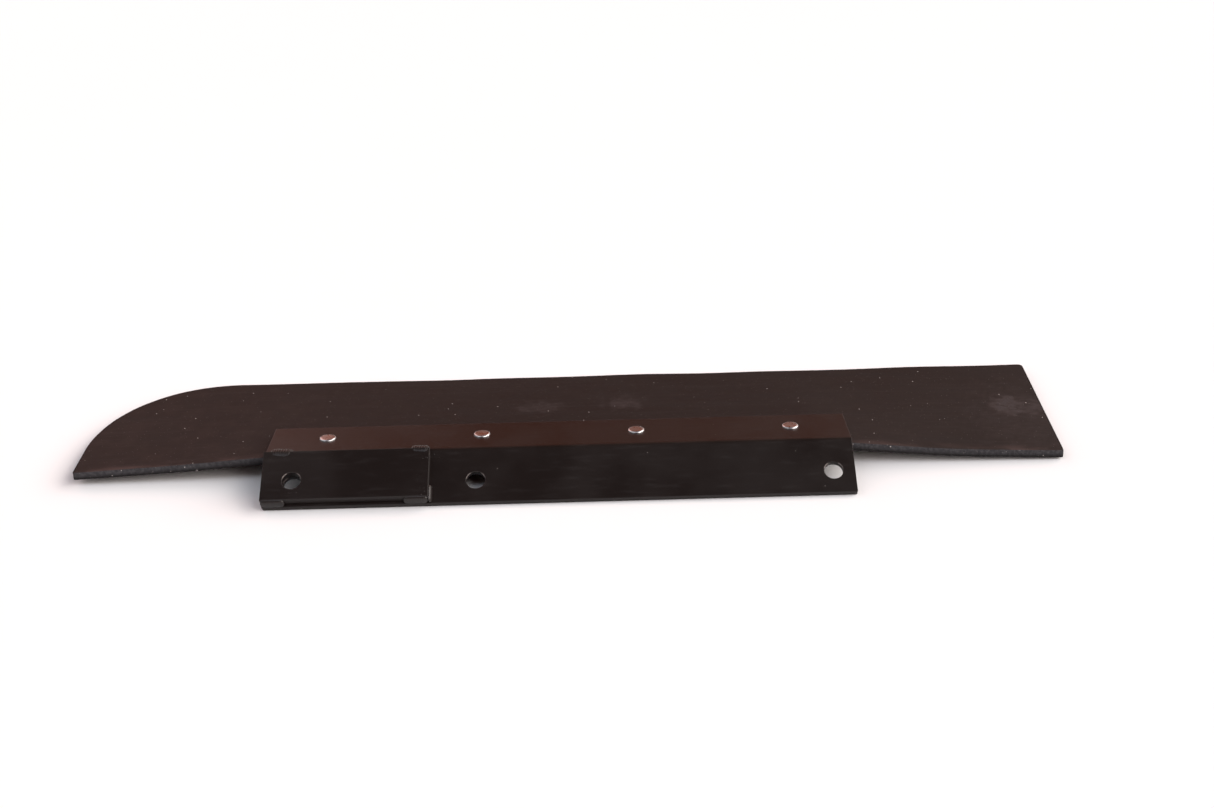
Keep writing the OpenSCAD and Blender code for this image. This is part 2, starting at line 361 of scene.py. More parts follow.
def window_rows(outline, points, values):
    """Numbers of the outline's points that are those of a side across its window."""
    inside = points[np.abs(values + hole_drop) < window_half + 1e-7]
    return np.array([int(np.argmin(np.linalg.norm(outline - p, axis=1))) for p in inside])


def bracket_outline():
    """The bent outline, its normals, and the numbers of the points across the front and back windows."""
    r = edge_radius
    half_turn = math.pi
    front, front_normal, front_values = web_side(-flange_width + r, -setback, 0.0, 1.0)
    back, back_normal, back_values = web_side(-flange_width + r, -setback, -steel, -1.0)
    centre = (setback, -outside_radius)
    outer = arc(centre, outside_radius, half_turn / 2 + bend_angle, half_turn / 2, 14)
    inner = arc(centre, bend_radius, half_turn / 2, half_turn / 2 + bend_angle, 14, inward=True)
    flange_values = side_places(setback, flange_width - r, [], flat_step)
    top = flat_side(flange_values, 0.0, 1.0)
    under = flat_side(flange_values[::-1], -steel, -1.0)
    tip_top = arc((flange_width - r, -r), r, half_turn / 2, 0, 5)
    tip_low = arc((flange_width - r, r - steel), r, 0, -half_turn / 2, 5)
    foot_low = arc((r - flange_width, r - steel), r, 3 * half_turn / 2, half_turn, 5)
    foot_top = arc((r - flange_width, -r), r, half_turn, half_turn / 2, 5)
    foot = [(turned(p, bend_angle), turned(n, bend_angle)) for p, n in (foot_low, foot_top)]
    outline, normals = join([(front, front_normal), outer, top, tip_top, tip_low, under, inner,
                             (back[::-1], back_normal), *foot])
    front_rows = window_rows(outline, front, front_values)
    return outline, normals, front_rows, window_rows(outline, back, back_values)


hole_xs = [22.9 * MM, 161.7 * MM, bracket_length - 16.5 * MM]


def web_hole(out_front, out_back):
    """Gives the function that bar_with_holes asks for a hole's centres, axis and depth."""
    def frame_of(x):
        front, back = web_point(x, -hole_drop, out_front), web_point(x, -hole_drop, out_back)
        axis = web_point(x, -hole_drop, 1.0) - web_point(x, -hole_drop, 0.0)
        return front, back, axis, out_front - out_back
    return frame_of


def rounded_ends(x, along, out):
    """Row-frame points of the bracket, with x drawn in near the web's two lower corners, so that the
    ends follow quarter circles there. along and out are in the flange's frame."""
    c, s = math.cos(bend_angle), math.sin(bend_angle)
    above_edge = flange_width + along * c + out * s
    on_web = along < 0
    for end, sign, radius, depth in ((0.0, 1, 3.2 * MM, 11 * MM), (bracket_length, -1, 1.4 * MM, 5 * MM)):
        into = sign * (x - end)
        x = x + sign * np.where(on_web, quarter(above_edge, radius), 0) * np.clip(1 - into / depth, 0, 1)
    return flange_point(x, along, out)


outline, normals, front_rows, back_rows = bracket_outline()
bracket = bar_with_holes("mounting_bracket_steel", outline, normals, rounded_ends, bracket_length, hole_xs,
                         front_rows, back_rows, web_hole(0.0, -steel), "black_paint", ["mounting_bracket"])

# %% [markdown]
# ## The doubler plate
#
# A flat plate, cut from thicker bar, is welded over the end hole so that the bolt there doesn't tear
# the thin web. It is the same kind of bar, with a plain rectangle as its outline and one tunnel.

# %% Build the doubler plate
doubler_length = 126.5 * MM
doubler = 6.35 * MM
doubler_top = 2.6 * MM
doubler_low = flange_width - 3.0 * MM


def doubler_outline():
    """A rectangle with rounded corners, in the web's frame, and its windows' points."""
    r = edge_radius
    half_turn = math.pi
    upper, lower = -doubler_top - r, r - doubler_low
    values = side_places(lower, upper, [-hole_drop], flat_step)
    front, back = flat_side(values, doubler, 1.0), flat_side(values[::-1], 0.0, -1.0)
    outline, normals = join([
        front, arc((upper, doubler - r), r, half_turn / 2, 0, 5), arc((upper, r), r, 0, -half_turn / 2, 5),
        back, arc((lower, r), r, 3 * half_turn / 2, half_turn, 5),
        arc((lower, doubler - r), r, half_turn, half_turn / 2, 5)])
    front_rows = window_rows(outline, front[0], values)
    return outline, normals, front_rows, window_rows(outline, back[0][::-1], values)


outline, normals, front_rows, back_rows = doubler_outline()
doubler_plate = bar_with_holes("doubler_plate_steel", outline, normals, web_point, doubler_length,
                               hole_xs[:1], front_rows, back_rows, web_hole(doubler, 0.0), "black_paint",
                               ["doubler_plate"])

# %% [markdown]
# ## The rubber flap
#
# The flap is cut by hand from 6 mm sheet rubber. Between the end rivets it lies flat under the flange,
# and past the bracket it sinks towards the floor in one slow curve. A cloth simulation could find
# that curve, but a falling exponential of the distance from the end rivet does it too, and gives the
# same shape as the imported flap.
#
# The sheet is two grids, its top and its bottom, and one band of rings round their border, over the
# rounded edges and down the cut. What a knife leaves behind is added as sums of sine waves: a free
# edge that wanders by a millimetre, a cut that isn't quite smooth, and a sheet that isn't quite flat.

# %% Smooth waves for hand-made surfaces
def waves(u, v, shortest, longest, seed, count=14):
    """A smooth random surface, mostly between -1 and 1: a sum of sine waves that run in random
    directions over (u, v), with wavelengths between shortest and longest."""
    dice = np.random.default_rng(seed)
    total = 0
    for _ in range(count):
        turn, phase = dice.uniform(0, 2 * math.pi, 2)
        number = 2 * math.pi / dice.uniform(shortest, longest)
        total = total + np.sin(number * (u * math.cos(turn) + v * math.sin(turn)) + phase)
    return total / math.sqrt(2 * count)


def smooth_step(value, low, high):
    """0 below low, 1 above high, and an S-curve (3 t squared minus 2 t cubed) in between."""
    t = np.clip((value - low) / (high - low), 0, 1)
    return t * t * (3 - 2 * t)


# %% The flap's outline
overhang_left = bracket_low.x - flap_low.x
overhang_right = flap_high.x - bracket_high.x
flap_start, flap_end = -overhang_left, bracket_length + overhang_right
round_length, round_depth, round_power = 104.5 * MM, 116 * MM, 2.1
corner_cut, corner_left, corner_right = 4 * MM, 2.0 * MM, 1.5 * MM


def free_edge(x):
    """Distance of the free edge from the bend's corner: a quarter superellipse at the left end, a
    straight cut that wanders in two slow waves, and a quarter circle at the right corner."""
    u = np.clip((flap_start + round_length - x) / round_length, 0, 1)
    curve = round_depth * (1 - (1 - u ** round_power) ** (1 / round_power))
    long_wave = np.cos(2 * math.pi * x / (275 * MM))
    short_wave = np.cos(2 * math.pi * (x - 48 * MM) / (120 * MM))
    wander = (0.5 * long_wave + 0.5 * short_wave - 0.2) * MM
    return flap_reach + wander * (1 - u) - curve - quarter(flap_end - x, corner_cut)


def near_edge(x):
    """Distance of the near edge from the bend's corner, with its two small rounded corners."""
    wobble = 0.2 * MM * waves(x, 0 * x, 30 * MM, 120 * MM, 11) * smooth_step(x - flap_start, 0, 20 * MM)
    return flap_near + wobble + quarter(x - flap_start, corner_left) + quarter(flap_end - x, corner_right)


# %% The way the flap hangs
sag_inset, sag_left, sag_right, sag_power = 30 * MM, 165 * MM, 108 * MM, 1.35
end_skew = 2.5 * MM


def hang(x):
    """Share of its height that the rubber keeps: 1 between the end rivets, then e to the minus
    (distance / sag length) to a power a little over 1, so that the fall starts gently."""
    left = np.clip(sag_inset - x, 0, None) / sag_left
    right = np.clip(x - bracket_length + sag_inset, 0, None) / sag_right
    return np.exp(-left ** sag_power - right ** sag_power)


def rubber_point(x, across, down):
    """Row-frame points of the sheet: across from the bend's corner, and down from the top face. The
    right end is cut a little out of square, and the loose rubber swells by a few tenths."""
    past = np.clip(x - bracket_length, 0, None) / overhang_right
    past_side = np.maximum(np.maximum(-x, x - bracket_length), across - flange_width)
    loose = smooth_step(past_side, 4 * MM, 40 * MM)
    swell = 0.18 * MM * (1 + waves(x, across, 35 * MM, 150 * MM, 3)) * loose
    c, s = math.cos(flange_slope), math.sin(flange_slope)
    height = (rubber - down) * c + hang(x) * np.clip(flap_reach - across, 0, None) * s + swell
    row_x = bracket_low.x + x - end_skew * (1 - across / flap_reach) * past
    return np.stack(np.broadcast_arrays(row_x, corner_y + across * c - (steel + down) * s, height), -1)


near_heights = [rubber_point(x, flap_near, rubber)[2] for x in (flap_start, 0.0, bracket_length, flap_end)]
print("the flap's near edge is", [round(float(h) / MM, 1) for h in near_heights], "mm above the floor")


# %% The sheet: two grids and a band round their border
def border(grid):
    """The outer ring of a grid, once round: first row, last column, last row and first column."""
    return np.concatenate([grid[0, :-1], grid[:-1, -1], grid[-1, :0:-1], grid[:0:-1, 0]])


def outward(loop):
    """Unit vectors that point out of a closed loop that runs clockwise: its tangents, turned left."""
    tangent = np.roll(loop, -1, axis=0) - np.roll(loop, 1, axis=0)
    tangent = tangent / np.linalg.norm(tangent, axis=1, keepdims=True)
    return np.stack([-tangent[:, 1], tangent[:, 0]], -1)


def set_border(grid, loop):
    """Writes a loop back into the outer ring of a grid."""
    rows, columns = grid.shape[0] - 1, grid.shape[1] - 1
    a, b, c = columns, columns + rows, 2 * columns + rows
    grid[0, :-1], grid[:-1, -1] = loop[:a], loop[a:b]
    grid[-1, :0:-1], grid[:0:-1, 0] = loop[b:c], loop[c:]


# %% Build the rubber flap
columns = 64
corner_turn = np.linspace(0, math.pi / 2, 7)
start_turn = math.acos(1 - corner_left / round_length)
xs = np.concatenate([
    flap_start + corner_left * (1 - np.cos(corner_turn[:-1])),
    flap_start + round_length * (1 - np.cos(np.linspace(start_turn, math.pi / 2, 70)))])
xs = np.concatenate([
    xs, np.arange(xs[-1] + 2.2 * MM, flap_end - corner_cut - 1 * MM, 2.2 * MM),
    flap_end - corner_cut * (1 - np.sin(np.linspace(0, math.pi / 2, 9)))])

share = np.linspace(0, 1, columns)[None]
near, far = near_edge(xs)[:, None], free_edge(xs)[:, None]
sheet_xy = np.stack(np.broadcast_arrays(xs[:, None], near * (1 - share) + far * share), -1)
edge_loop = border(sheet_xy)
out = outward(edge_loop)
arc_length = np.cumsum(np.linalg.norm(edge_loop - np.roll(edge_loop, 1, axis=0), axis=1))

rim, rim_support = 0.4 * MM, 0.4 * MM
turns = np.linspace(0, math.pi / 2, 5)[1:]
rounding_in, rounding_down = rim * (1 - np.sin(turns)), rim * (1 - np.cos(turns))
inset = np.concatenate([[rim], rounding_in, np.zeros(3), rounding_in[::-1], [rim]])
down = np.concatenate([[0], rounding_down, rubber * np.array([0.3, 0.5, 0.7]),
                       rubber - rounding_down[::-1], [rubber]])
ragged = 0.09 * MM * waves(arc_length[None], 3 * down[:, None], 3 * MM, 14 * MM, 21)
band_xy = edge_loop[None] + out[None] * (ragged - inset[:, None])[..., None]
set_border(sheet_xy, edge_loop - out * (rim + rim_support))

grid_top = rubber_point(sheet_xy[..., 0], sheet_xy[..., 1], 0.0)
grid_low = rubber_point(sheet_xy[..., 0], sheet_xy[..., 1], rubber)
band = rubber_point(band_xy[..., 0], band_xy[..., 1], down[:, None])

top_numbers = number_grid(grid_top)
low_numbers = number_grid(grid_low, top_numbers.size)
band_numbers = number_grid(band, 2 * top_numbers.size)
rings = np.concatenate([border(top_numbers)[None], band_numbers, border(low_numbers)[None]])
flap_points = np.concatenate([grid_top.reshape(-1, 3), grid_low.reshape(-1, 3), band.reshape(-1, 3)])
flap_faces = np.concatenate([grid_faces(top_numbers), grid_faces(low_numbers)[:, ::-1],
                             grid_faces(rings, closed=True)])
cut_mark = np.concatenate([np.zeros(2 * top_numbers.size),
                           np.broadcast_to((inset < 0.9 * rim)[:, None] * 1.0, band_numbers.shape).ravel()])
depth_mark = np.concatenate([np.zeros(top_numbers.size), np.ones(top_numbers.size),
                             np.broadcast_to(down[:, None] / rubber, band_numbers.shape).ravel()])
print("sheet grid", grid_top.shape[:2], "and band", band.shape[:2])

# %% [markdown]
# Hands left a few pale, chalky smudges. They are soft, so values on the points carry them well: each
# is an ellipse with a wavy outline, given by its place, its two half lengths and its strength.

# %% Chalky smudges, and the finished flap
def smudge(points, place, half_x, half_y, strength, seed):
    """strength in the middle of an ellipse, fading smoothly to 0 past its wavy outline."""
    u, v = (points[:, 0] - place[0]) / half_x, (points[:, 1] - place[1]) / half_y
    reach = np.sqrt(u ** 2 + v ** 2) + 0.35 * waves(points[:, 0], points[:, 1], 5 * MM, 22 * MM, seed)
    return strength * (1 - smooth_step(reach, 0.45, 1.25))


middle_y = corner_y + 0.62 * flap_reach
chalk = (smudge(flap_points, (flap_high.x - 31 * MM, middle_y - 16 * MM), 11 * MM, 17 * MM, 1.0, 31)
         + smudge(flap_points, (flap_high.x - 13 * MM, middle_y - 21 * MM), 13 * MM, 17 * MM, 0.55, 32)
         + smudge(flap_points, (flap_high.x - 24 * MM, middle_y - 38 * MM), 42 * MM, 60 * MM, 0.22, 35)
         + smudge(flap_points, (bracket_low.x + 208 * MM, middle_y - 10 * MM), 20 * MM, 13 * MM, 0.45, 33)
         + smudge(flap_points, (bracket_low.x + 277 * MM, middle_y - 6 * MM), 16 * MM, 14 * MM, 0.6, 34))
flap = make_piece("rubber_flap_sheet", flap_points, flap_faces, ["rubber_flap"], "rubber",
                  marks={"cut": cut_mark, "depth": depth_mark, "chalk": chalk})
face_outwards(flap)

# %% [markdown]
# ## Rivets and washers
#
# Four solid rivets hold the rubber. The low factory head sits on the painted flange. Under the rubber
# the shank goes through a washer and is hammered into a domed tail. One profile turned about its
# axis makes it, with its corners rounded by quadratic curves, since a formed head has no sharp ones.

# %% Round the corners of a profile
def rounded(corners, radius, steps=5):
    """A path through the corners with each inner one replaced by a quadratic Bezier curve. The curve
    starts and ends a radius away along the two sides, or at their middles if they are shorter."""
    corners = np.asarray(corners, float)
    t = np.linspace(0, 1, steps)[:, None]
    path = [corners[:1]]
    for before, corner, after in zip(corners[:-2], corners[1:-1], corners[2:]):
        one, two = before - corner, after - corner
        start = corner + one * min(0.5, radius / np.linalg.norm(one))
        end = corner + two * min(0.5, radius / np.linalg.norm(two))
        path.append((1 - t) ** 2 * start + 2 * t * (1 - t) * corner + t ** 2 * end)
    return np.concatenate(path + [corners[-1:]])


def turned_solid(path, spokes, place):
    """Points and faces of a path (distance from the axis, height) turned about the axis. place carries
    (x, along, out) into the row frame. An end on the axis closes in one point, and a path that
    ends where it starts makes a ring."""
    angle = np.linspace(0, 2 * math.pi, spokes, endpoint=False)[None]
    ring_path = np.linalg.norm(path[0] - path[-1]) < 1e-9
    inner = path[:-1] if ring_path else path[1:-1]
    r, h = inner[:, :1], inner[:, 1:]
    points = place(r * np.cos(angle), r * np.sin(angle), h + 0 * angle).reshape(-1, 3)
    numbers = np.arange(len(points)).reshape(len(inner), spokes)
    if ring_path:
        return points, grid_faces(np.concatenate([numbers, numbers[:1]]), closed=True).tolist()
    poles = place(0.0, 0.0, path[[0, -1], 1])
    first, last = len(points), len(points) + 1
    fans = [[a, b, first] for a, b in zip(numbers[0], np.roll(numbers[0], -1))]
    fans += [[a, b, last] for a, b in zip(np.roll(numbers[-1], -1), numbers[-1])]
    return np.concatenate([points, poles]), grid_faces(numbers, closed=True).tolist() + fans


# %% Build the rivets and the washers
rivet_count = 4
first_x, last_x = ((low.x + high.x) / 2 for low, high in (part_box("rivet_1"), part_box("rivet_4")))
rivet_xs = np.linspace(first_x, last_x, rivet_count)
rivet_along = 25.5 * MM
head_radius, head_height = 6.4 * MM, 1.4 * MM
shank_radius, washer_radius, washer = 3.2 * MM, 9.5 * MM, 1.6 * MM
tail_radius, tail_height = 5.3 * MM, 2.4 * MM
under = -stack - washer
print("rivets at x", [round(x / MM, 1) for x in rivet_xs], "mm")

head_shape = np.array([[0, 1.0], [0.62, 0.98], [0.86, 0.94], [0.97, 0.62], [1.0, 0.22], [1.0, 0.0]])
head_path = rounded(head_shape * [head_radius, head_height], 0.45 * MM)
tail_path = rounded([
    [head_radius, 0], [shank_radius, 0], [shank_radius, under], [tail_radius, under],
    [tail_radius, under - 0.45 * tail_height], [0.62 * tail_radius, under - tail_height],
    [0, under - tail_height]], 0.6 * MM)
washer_path = rounded([
    [shank_radius, -stack - washer / 2], [shank_radius, -stack], [washer_radius, -stack],
    [washer_radius, under], [shank_radius, under], [shank_radius, -stack - washer / 2]], 0.25 * MM)
rivet_path = np.concatenate([head_path, tail_path[1:]])


def beside_rivet(index):
    """Carries (x, along, out) about a rivet's axis into the row frame."""
    return lambda x, along, out: flange_point(rivet_xs[index] - bracket_low.x + x, rivet_along + along, out)


rivets, washers = [], []
for i in range(rivet_count):
    points, faces = turned_solid(rivet_path, 72, beside_rivet(i))
    rivets.append(make_piece(f"rivet_set_{i + 1}", points, faces, [f"rivet_{i + 1}"], "zinc", sharp=50))
    points, faces = turned_solid(washer_path, 72, beside_rivet(i))
    washers.append(make_piece(f"washer_under_{i + 1}", points, faces, [f"backing_washer_{i + 1}"], "zinc",
                              sharp=50))
for piece in rivets + washers:
    face_outwards(piece)

# %% [markdown]
# ## Weld beads
#
# Short beads hold the doubler plate: two astride its upper edge, two in the step along its lower edge,
# and one up its right end. A bead made by hand is a row of puddles, each frozen as a crescent. So the
# section grows and shrinks by a few per cent from puddle to puddle, and the phase runs ahead in the
# middle of the bead, which bends the ripples.
#
# The section is an upper curve from toe to toe over a crown, and a lower curve through a root point
# that is sunk into the steel, so no gap can show. Both are quadratic Bezier curves.

# %% A rippled bead between two toes
puddle_pitch = 1.9 * MM


def bezier(start, control, end, t):
    """Quadratic Bezier curve, with t along the last axis but one."""
    return (1 - t) ** 2 * start + 2 * t * (1 - t) * control + t ** 2 * end


def bead(name, carry, length, toe_one, toe_two, crown, root, seed, node):
    """A bead along x from 0 to length. toe_one, toe_two, crown and root are section points (along,
    out). carry takes (x, along, out) into the row frame. The ends close in a rounded nose."""
    steps = 6 * math.ceil(length / puddle_pitch)
    turn = np.linspace(0, math.pi, 9)[1:5]
    nose = 0.9 * MM / length
    nose_x = nose * (1 - np.cos(turn))
    middle_x = nose + (1 - 2 * nose) * np.linspace(0, 1, steps)[1:-1]
    x = np.concatenate([nose_x, middle_x, 1 - nose_x[::-1]])
    size = np.clip(1 - np.abs(2 * x - 1) ** 6, 0, 1) ** 0.5
    t = np.linspace(0, 1, 15)[:, None]
    u = np.linspace(0, 1, 8)[:, None]
    toe_one, toe_two, crown, root = (np.asarray(p, float) * MM for p in (toe_one, toe_two, crown, root))
    over = bezier(toe_one, crown, toe_two, t)
    below = bezier(toe_two, root, toe_one, u)[1:-1]
    centre = (toe_one + toe_two) / 2
    section = np.concatenate([over, below]) - centre
    share = np.concatenate([t[:, 0], u[::-1][1:-1, 0]])
    lead = 4 * share * (1 - share) * 0.55
    phase = 2 * math.pi * (x[:, None] * length / puddle_pitch - lead[None])
    crescent = 0.5 + 0.5 * np.cos(phase + 0.6 * np.sin(phase))
    height = 4 * share * (1 - share) * np.concatenate([np.ones(len(over)), np.zeros(len(below))])
    lumps = waves(x[:, None] * length, share[None] * 4 * MM, 3 * MM, 9 * MM, seed)
    swell = 1 - 0.08 * crescent * height[None] + 0.025 * lumps
    places = centre + section[None] * (size[:, None] * swell)[..., None]
    points = carry(x[:, None] * length, places[..., 0], places[..., 1])
    numbers = number_grid(points)
    faces = grid_faces(numbers, closed=True).tolist() + [numbers[0][::-1].tolist(), numbers[-1].tolist()]
    piece = make_piece(name, points, faces, [node], "painted_weld", sharp=60)
    face_outwards(piece)
    return piece


# %% Build the five beads
def along_web(start, wander=0.0):
    """Carries a bead that runs along x, from a distance past the bracket's left end."""
    return lambda x, along, out: web_point(start * MM + x, along + wander * MM * np.sin(x / (3 * MM)), out)


def up_web(x_place, start):
    """Carries a bead that runs up the web: its length goes up, and its section lies across x."""
    return lambda x, along, out: web_point(x_place + along, start * MM + x, out)


low_edge = -doubler_low / MM
on_face = doubler / MM - 0.1
top_root, low_root, low_toe = (-2.8, 2.0), (low_edge + 1, -0.6), (low_edge - 2.7, -0.3)
end_start = -flange_width / MM + 0.3
beads = [
    bead("weld_bead_top_left", along_web(4.4, 0.15), 17.6 * MM, (4.1, -3.0), (-7.2, on_face), (0.6, 9.4),
         top_root, 41, "weld_top_left"),
    bead("weld_bead_top_right", along_web(111.8, 0.15), 14.7 * MM, (4.0, -2.9), (-6.5, on_face), (0.4, 9.2),
         top_root, 42, "weld_top_right"),
    bead("weld_bead_low_left", along_web(0.3), 18.4 * MM, low_toe, (low_edge + 0.7, on_face),
         (low_edge - 2.9, 6.4), low_root, 43, "weld_bottom_left"),
    bead("weld_bead_low_right", along_web(107.9), 18.6 * MM, low_toe, (low_edge + 0.4, on_face),
         (low_edge - 2.7, 6.1), low_root, 44, "weld_bottom_right"),
    bead("weld_bead_end", up_web(doubler_length, end_start), 14 * MM, (2.8, -0.2), (-0.3, 5.4),
         (2.9, 5.2), (-1, -0.6), 45, "weld_end")]

# %% [markdown]
# Welding throws small drops of steel that freeze near the beads and are painted over. They are domes
# of a few dozen faces: one dome grid, moved and scaled to seeded random places.

# %% Spatter beside the beads
dice = np.random.default_rng(7)
drop_count = 26
near_bead = dice.choice(4, drop_count)
bead_x = np.array([18, 128, 24, 128])[near_bead] * MM
bead_along = np.array([-10, -9, -40, -38])[near_bead] * MM
drop_x = bead_x + dice.normal(0, 5, drop_count) * MM
drop_along = np.clip(bead_along + dice.normal(0, 5, drop_count) * MM, -44 * MM, -5 * MM)
drop_out = np.where(drop_x < doubler_length, doubler, 0.0)
drop_radius = dice.uniform(0.22, 0.6, drop_count) * MM

rise = np.linspace(0, math.pi / 2, 5)[:-1][None, :, None]
spin = np.linspace(0, 2 * math.pi, 10, endpoint=False)[None, None]
r = drop_radius[:, None, None]
dome = web_point(drop_x[:, None, None] + r * np.cos(rise) * np.cos(spin),
                 drop_along[:, None, None] + r * np.cos(rise) * np.sin(spin),
                 drop_out[:, None, None] + r * (0.75 * np.sin(rise) - 0.2) + 0 * spin)
tips = web_point(drop_x, drop_along, drop_out + 0.55 * drop_radius)
feet = web_point(drop_x, drop_along, drop_out - 0.3 * drop_radius)
dome_numbers = number_grid(dome)
dome_faces = np.concatenate([grid_faces(one, closed=True) for one in dome_numbers]).tolist()
for i in range(drop_count):
    tip, foot = dome_numbers.size + i, dome_numbers.size + drop_count + i
    dome_faces += [[a, b, tip] for a, b in zip(dome_numbers[i, -1], np.roll(dome_numbers[i, -1], -1))]
    dome_faces += [[b, a, foot] for a, b in zip(dome_numbers[i, 0], np.roll(dome_numbers[i, 0], -1))]
spatter_points = np.concatenate([dome.reshape(-1, 3), tips, feet])
spatter = make_piece("weld_spatter", spatter_points, dome_faces, (), "painted_weld", sharp=80)
face_outwards(spatter)

# %% [markdown]
# ## Finishes
#
# All finishes are patterns of nodes on the pieces' own coordinates, so they stay in place when a
# piece is exported. Sizes are given in metres as the width of a feature, because that is what one can
# measure on a real surface.

# %% Helpers for node recipes
def start_finish(name, **fixed):
    """A new material with its Principled shader. fixed are the shader's own values, by socket name
    with _ for a space. Returns the material, its tree and the shader."""
    material = bpy.data.materials.new(name)
    material.use_nodes = True
    shader = material.node_tree.nodes["Principled BSDF"]
    for socket, value in fixed.items():
        shader.inputs[socket.replace("_", " ")].default_value = value
    return material, material.node_tree, shader


def wire(tree, shader, **outputs):
    """Links node outputs to the shader's sockets, named in the same way."""
    for socket, output in outputs.items():
        tree.links.new(output, shader.inputs[socket.replace("_", " ")])


def put(tree, kind, inputs, output=0, **choices):
    """Adds a node and returns one of its outputs. inputs maps sockets to other outputs or to values."""
    made = tree.nodes.new("ShaderNode" + kind)
    for name, value in choices.items():
        setattr(made, name, value)
    for socket, value in inputs.items():
        if isinstance(value, bpy.types.NodeSocket):
            tree.links.new(value, made.inputs[socket])
        else:
            made.inputs[socket].default_value = value
    return made.outputs[output]


def placed(tree, size, long_x=1.0, shift=0.0):
    """The piece's coordinates divided by a feature size, with features long_x times as long in X."""
    place = put(tree, "TexCoord", {}, "Object")
    return put(tree, "Mapping", {"Vector": place, "Location": (shift, shift, shift),
                                 "Scale": (1 / (size * long_x), 1 / size, 1 / size)})


def cloud(tree, size, detail=2.0, long_x=1.0, shift=0.0):
    """Smooth noise from 0 to 1, mostly near the middle, with features about size across."""
    place = placed(tree, size, long_x, shift)
    return put(tree, "TexNoise", {"Vector": place, "Scale": 0.6, "Detail": detail})


def between(tree, value, low, high, new_low=0.0, new_high=1.0):
    """Carries value from the range low..high to new_low..new_high along an S-curve, and clamps it."""
    ranges = {"From Min": low, "From Max": high, "To Min": new_low, "To Max": new_high}
    return put(tree, "MapRange", {"Value": value, **ranges}, interpolation_type="SMOOTHSTEP")


def math_of(tree, operation, a, b=0.0):
    """One step of arithmetic, named as in the Math node."""
    return put(tree, "Math", {0: a, 1: b}, operation=operation)


def times(tree, a, b):
    """a multiplied by b."""
    return math_of(tree, "MULTIPLY", a, b)


def coloured(tree, share, first, second):
    """first where share is 0, second where it is 1. Both are colours or colour outputs."""
    first, second = (c if isinstance(c, bpy.types.NodeSocket) else (*c, 1.0) for c in (first, second))
    return put(tree, "Mix", {0: share, 6: first, 7: second}, output=2, data_type="RGBA")


def specks(tree, spacing, radius, shift=0.0):
    """1 inside round grains and 0 outside. The grains' centres are scattered through space, about one
    in each cube of side spacing, and the surface cuts some of them."""
    place = placed(tree, spacing, shift=shift)
    cell = put(tree, "TexVoronoi", {"Vector": place, "Scale": 1.0, "Randomness": 1.0}, "Distance")
    return between(tree, cell, 0.5 * radius / spacing, radius / spacing, 1.0, 0.0)


def relief(tree, height, depth, below=None):
    """A bump of that depth in metres, on top of another one."""
    under_it = {"Normal": below} if below else {}
    return put(tree, "Bump", {"Height": height, "Distance": depth, "Strength": 1.0, **under_it})


def mark_of(tree, name):
    """The value that a piece's points carry under that name."""
    return put(tree, "Attribute", {}, "Fac", attribute_name=name, attribute_type="GEOMETRY")


# %% [markdown]
# ## Rubber
#
# Black sheet rubber is a warm dark brown-grey. The calender's rollers leave long faint streaks on it,
# and dust lies on it in grains. A fresh cut is matter and paler, bluish grey, because the knife tears
# the rubber and the tears hold dust; part of that paleness is painted light, for the light from the
# front that falls on the cut face, and the cut's lower part is painted darker as shade. In a patchy
# band beside the near cut the upper skin is paler and a little pinker. Bumps carry the same marks
# into the way it catches light.

# %% Mix the rubber
rubber_finish, tree, shader = start_finish("sheet_rubber", Specular_IOR_Level=0.21)
mottle = cloud(tree, 42 * MM, 3.0)
blotch = cloud(tree, 9 * MM, 2.0, shift=3.0)
streak = cloud(tree, 1.3 * MM, 2.0, long_x=60.0)
long_streak = cloud(tree, 5 * MM, 1.0, long_x=25.0, shift=7.0)
grain = cloud(tree, 0.45 * MM, 2.0)
cut_face = mark_of(tree, "cut")
chalk_mark = mark_of(tree, "chalk")

skin = coloured(tree, between(tree, mottle, 0.3, 0.7), (0.0100, 0.0056, 0.0046), (0.0108, 0.0064, 0.0054))
skin = coloured(tree, between(tree, blotch, 0.45, 0.8, 0.0, 0.16), skin, (0.020, 0.0135, 0.0125))
skin = coloured(tree, between(tree, streak, 0.5, 0.8, 0.0, 0.45), skin, (0.022, 0.0165, 0.0160))
skin = coloured(tree, between(tree, long_streak, 0.55, 0.8, 0.0, 0.5), skin, (0.010, 0.0070, 0.0066))

near_y = corner_y + flap_near * math.cos(flange_slope) - steel * math.sin(flange_slope)
row_y = put(tree, "SeparateXYZ", {"Vector": put(tree, "TexCoord", {}, "Object")}, "Y")
# A patchy band of the upper skin along the near cut is made paler and a little pinker.
beside_cut = between(tree, row_y, near_y, near_y + 11 * MM, 1.0, 0.0)
patchy = between(tree, cloud(tree, 5 * MM, 3.0, long_x=4.0), 0.4, 0.7)
pale_band_by_cut = times(tree, times(tree, beside_cut, patchy), 0.8)
skin = coloured(tree, pale_band_by_cut, skin, (0.060, 0.036, 0.033))
chalk_grain = between(tree, cloud(tree, 2.2 * MM, 3.0, long_x=2.0, shift=5.0), 0.3, 0.7, 0.35, 1.0)
chalky = times(tree, chalk_mark, chalk_grain)
skin = coloured(tree, chalky, skin, (0.046, 0.035, 0.035))

# The cut face is painted paler and bluish in torn patches: partly dust in the tears, partly painted light
# from the front.
torn = between(tree, cloud(tree, 1.6 * MM, 3.0, shift=9.0), 0.35, 0.7)
cut_colour_with_painted_light = coloured(tree, torn, (0.036, 0.034, 0.037), (0.060, 0.057, 0.061))
# Painted shade: the lower part of the cut face is darkened, as shade falls there near the floor.
cut_painted_shade_low = between(tree, mark_of(tree, "depth"), 0.3, 0.95)
cut_colour_with_painted_light = coloured(tree, cut_painted_shade_low, cut_colour_with_painted_light, (0.010, 0.0085, 0.0090))
surface = coloured(tree, cut_face, skin, cut_colour_with_painted_light)

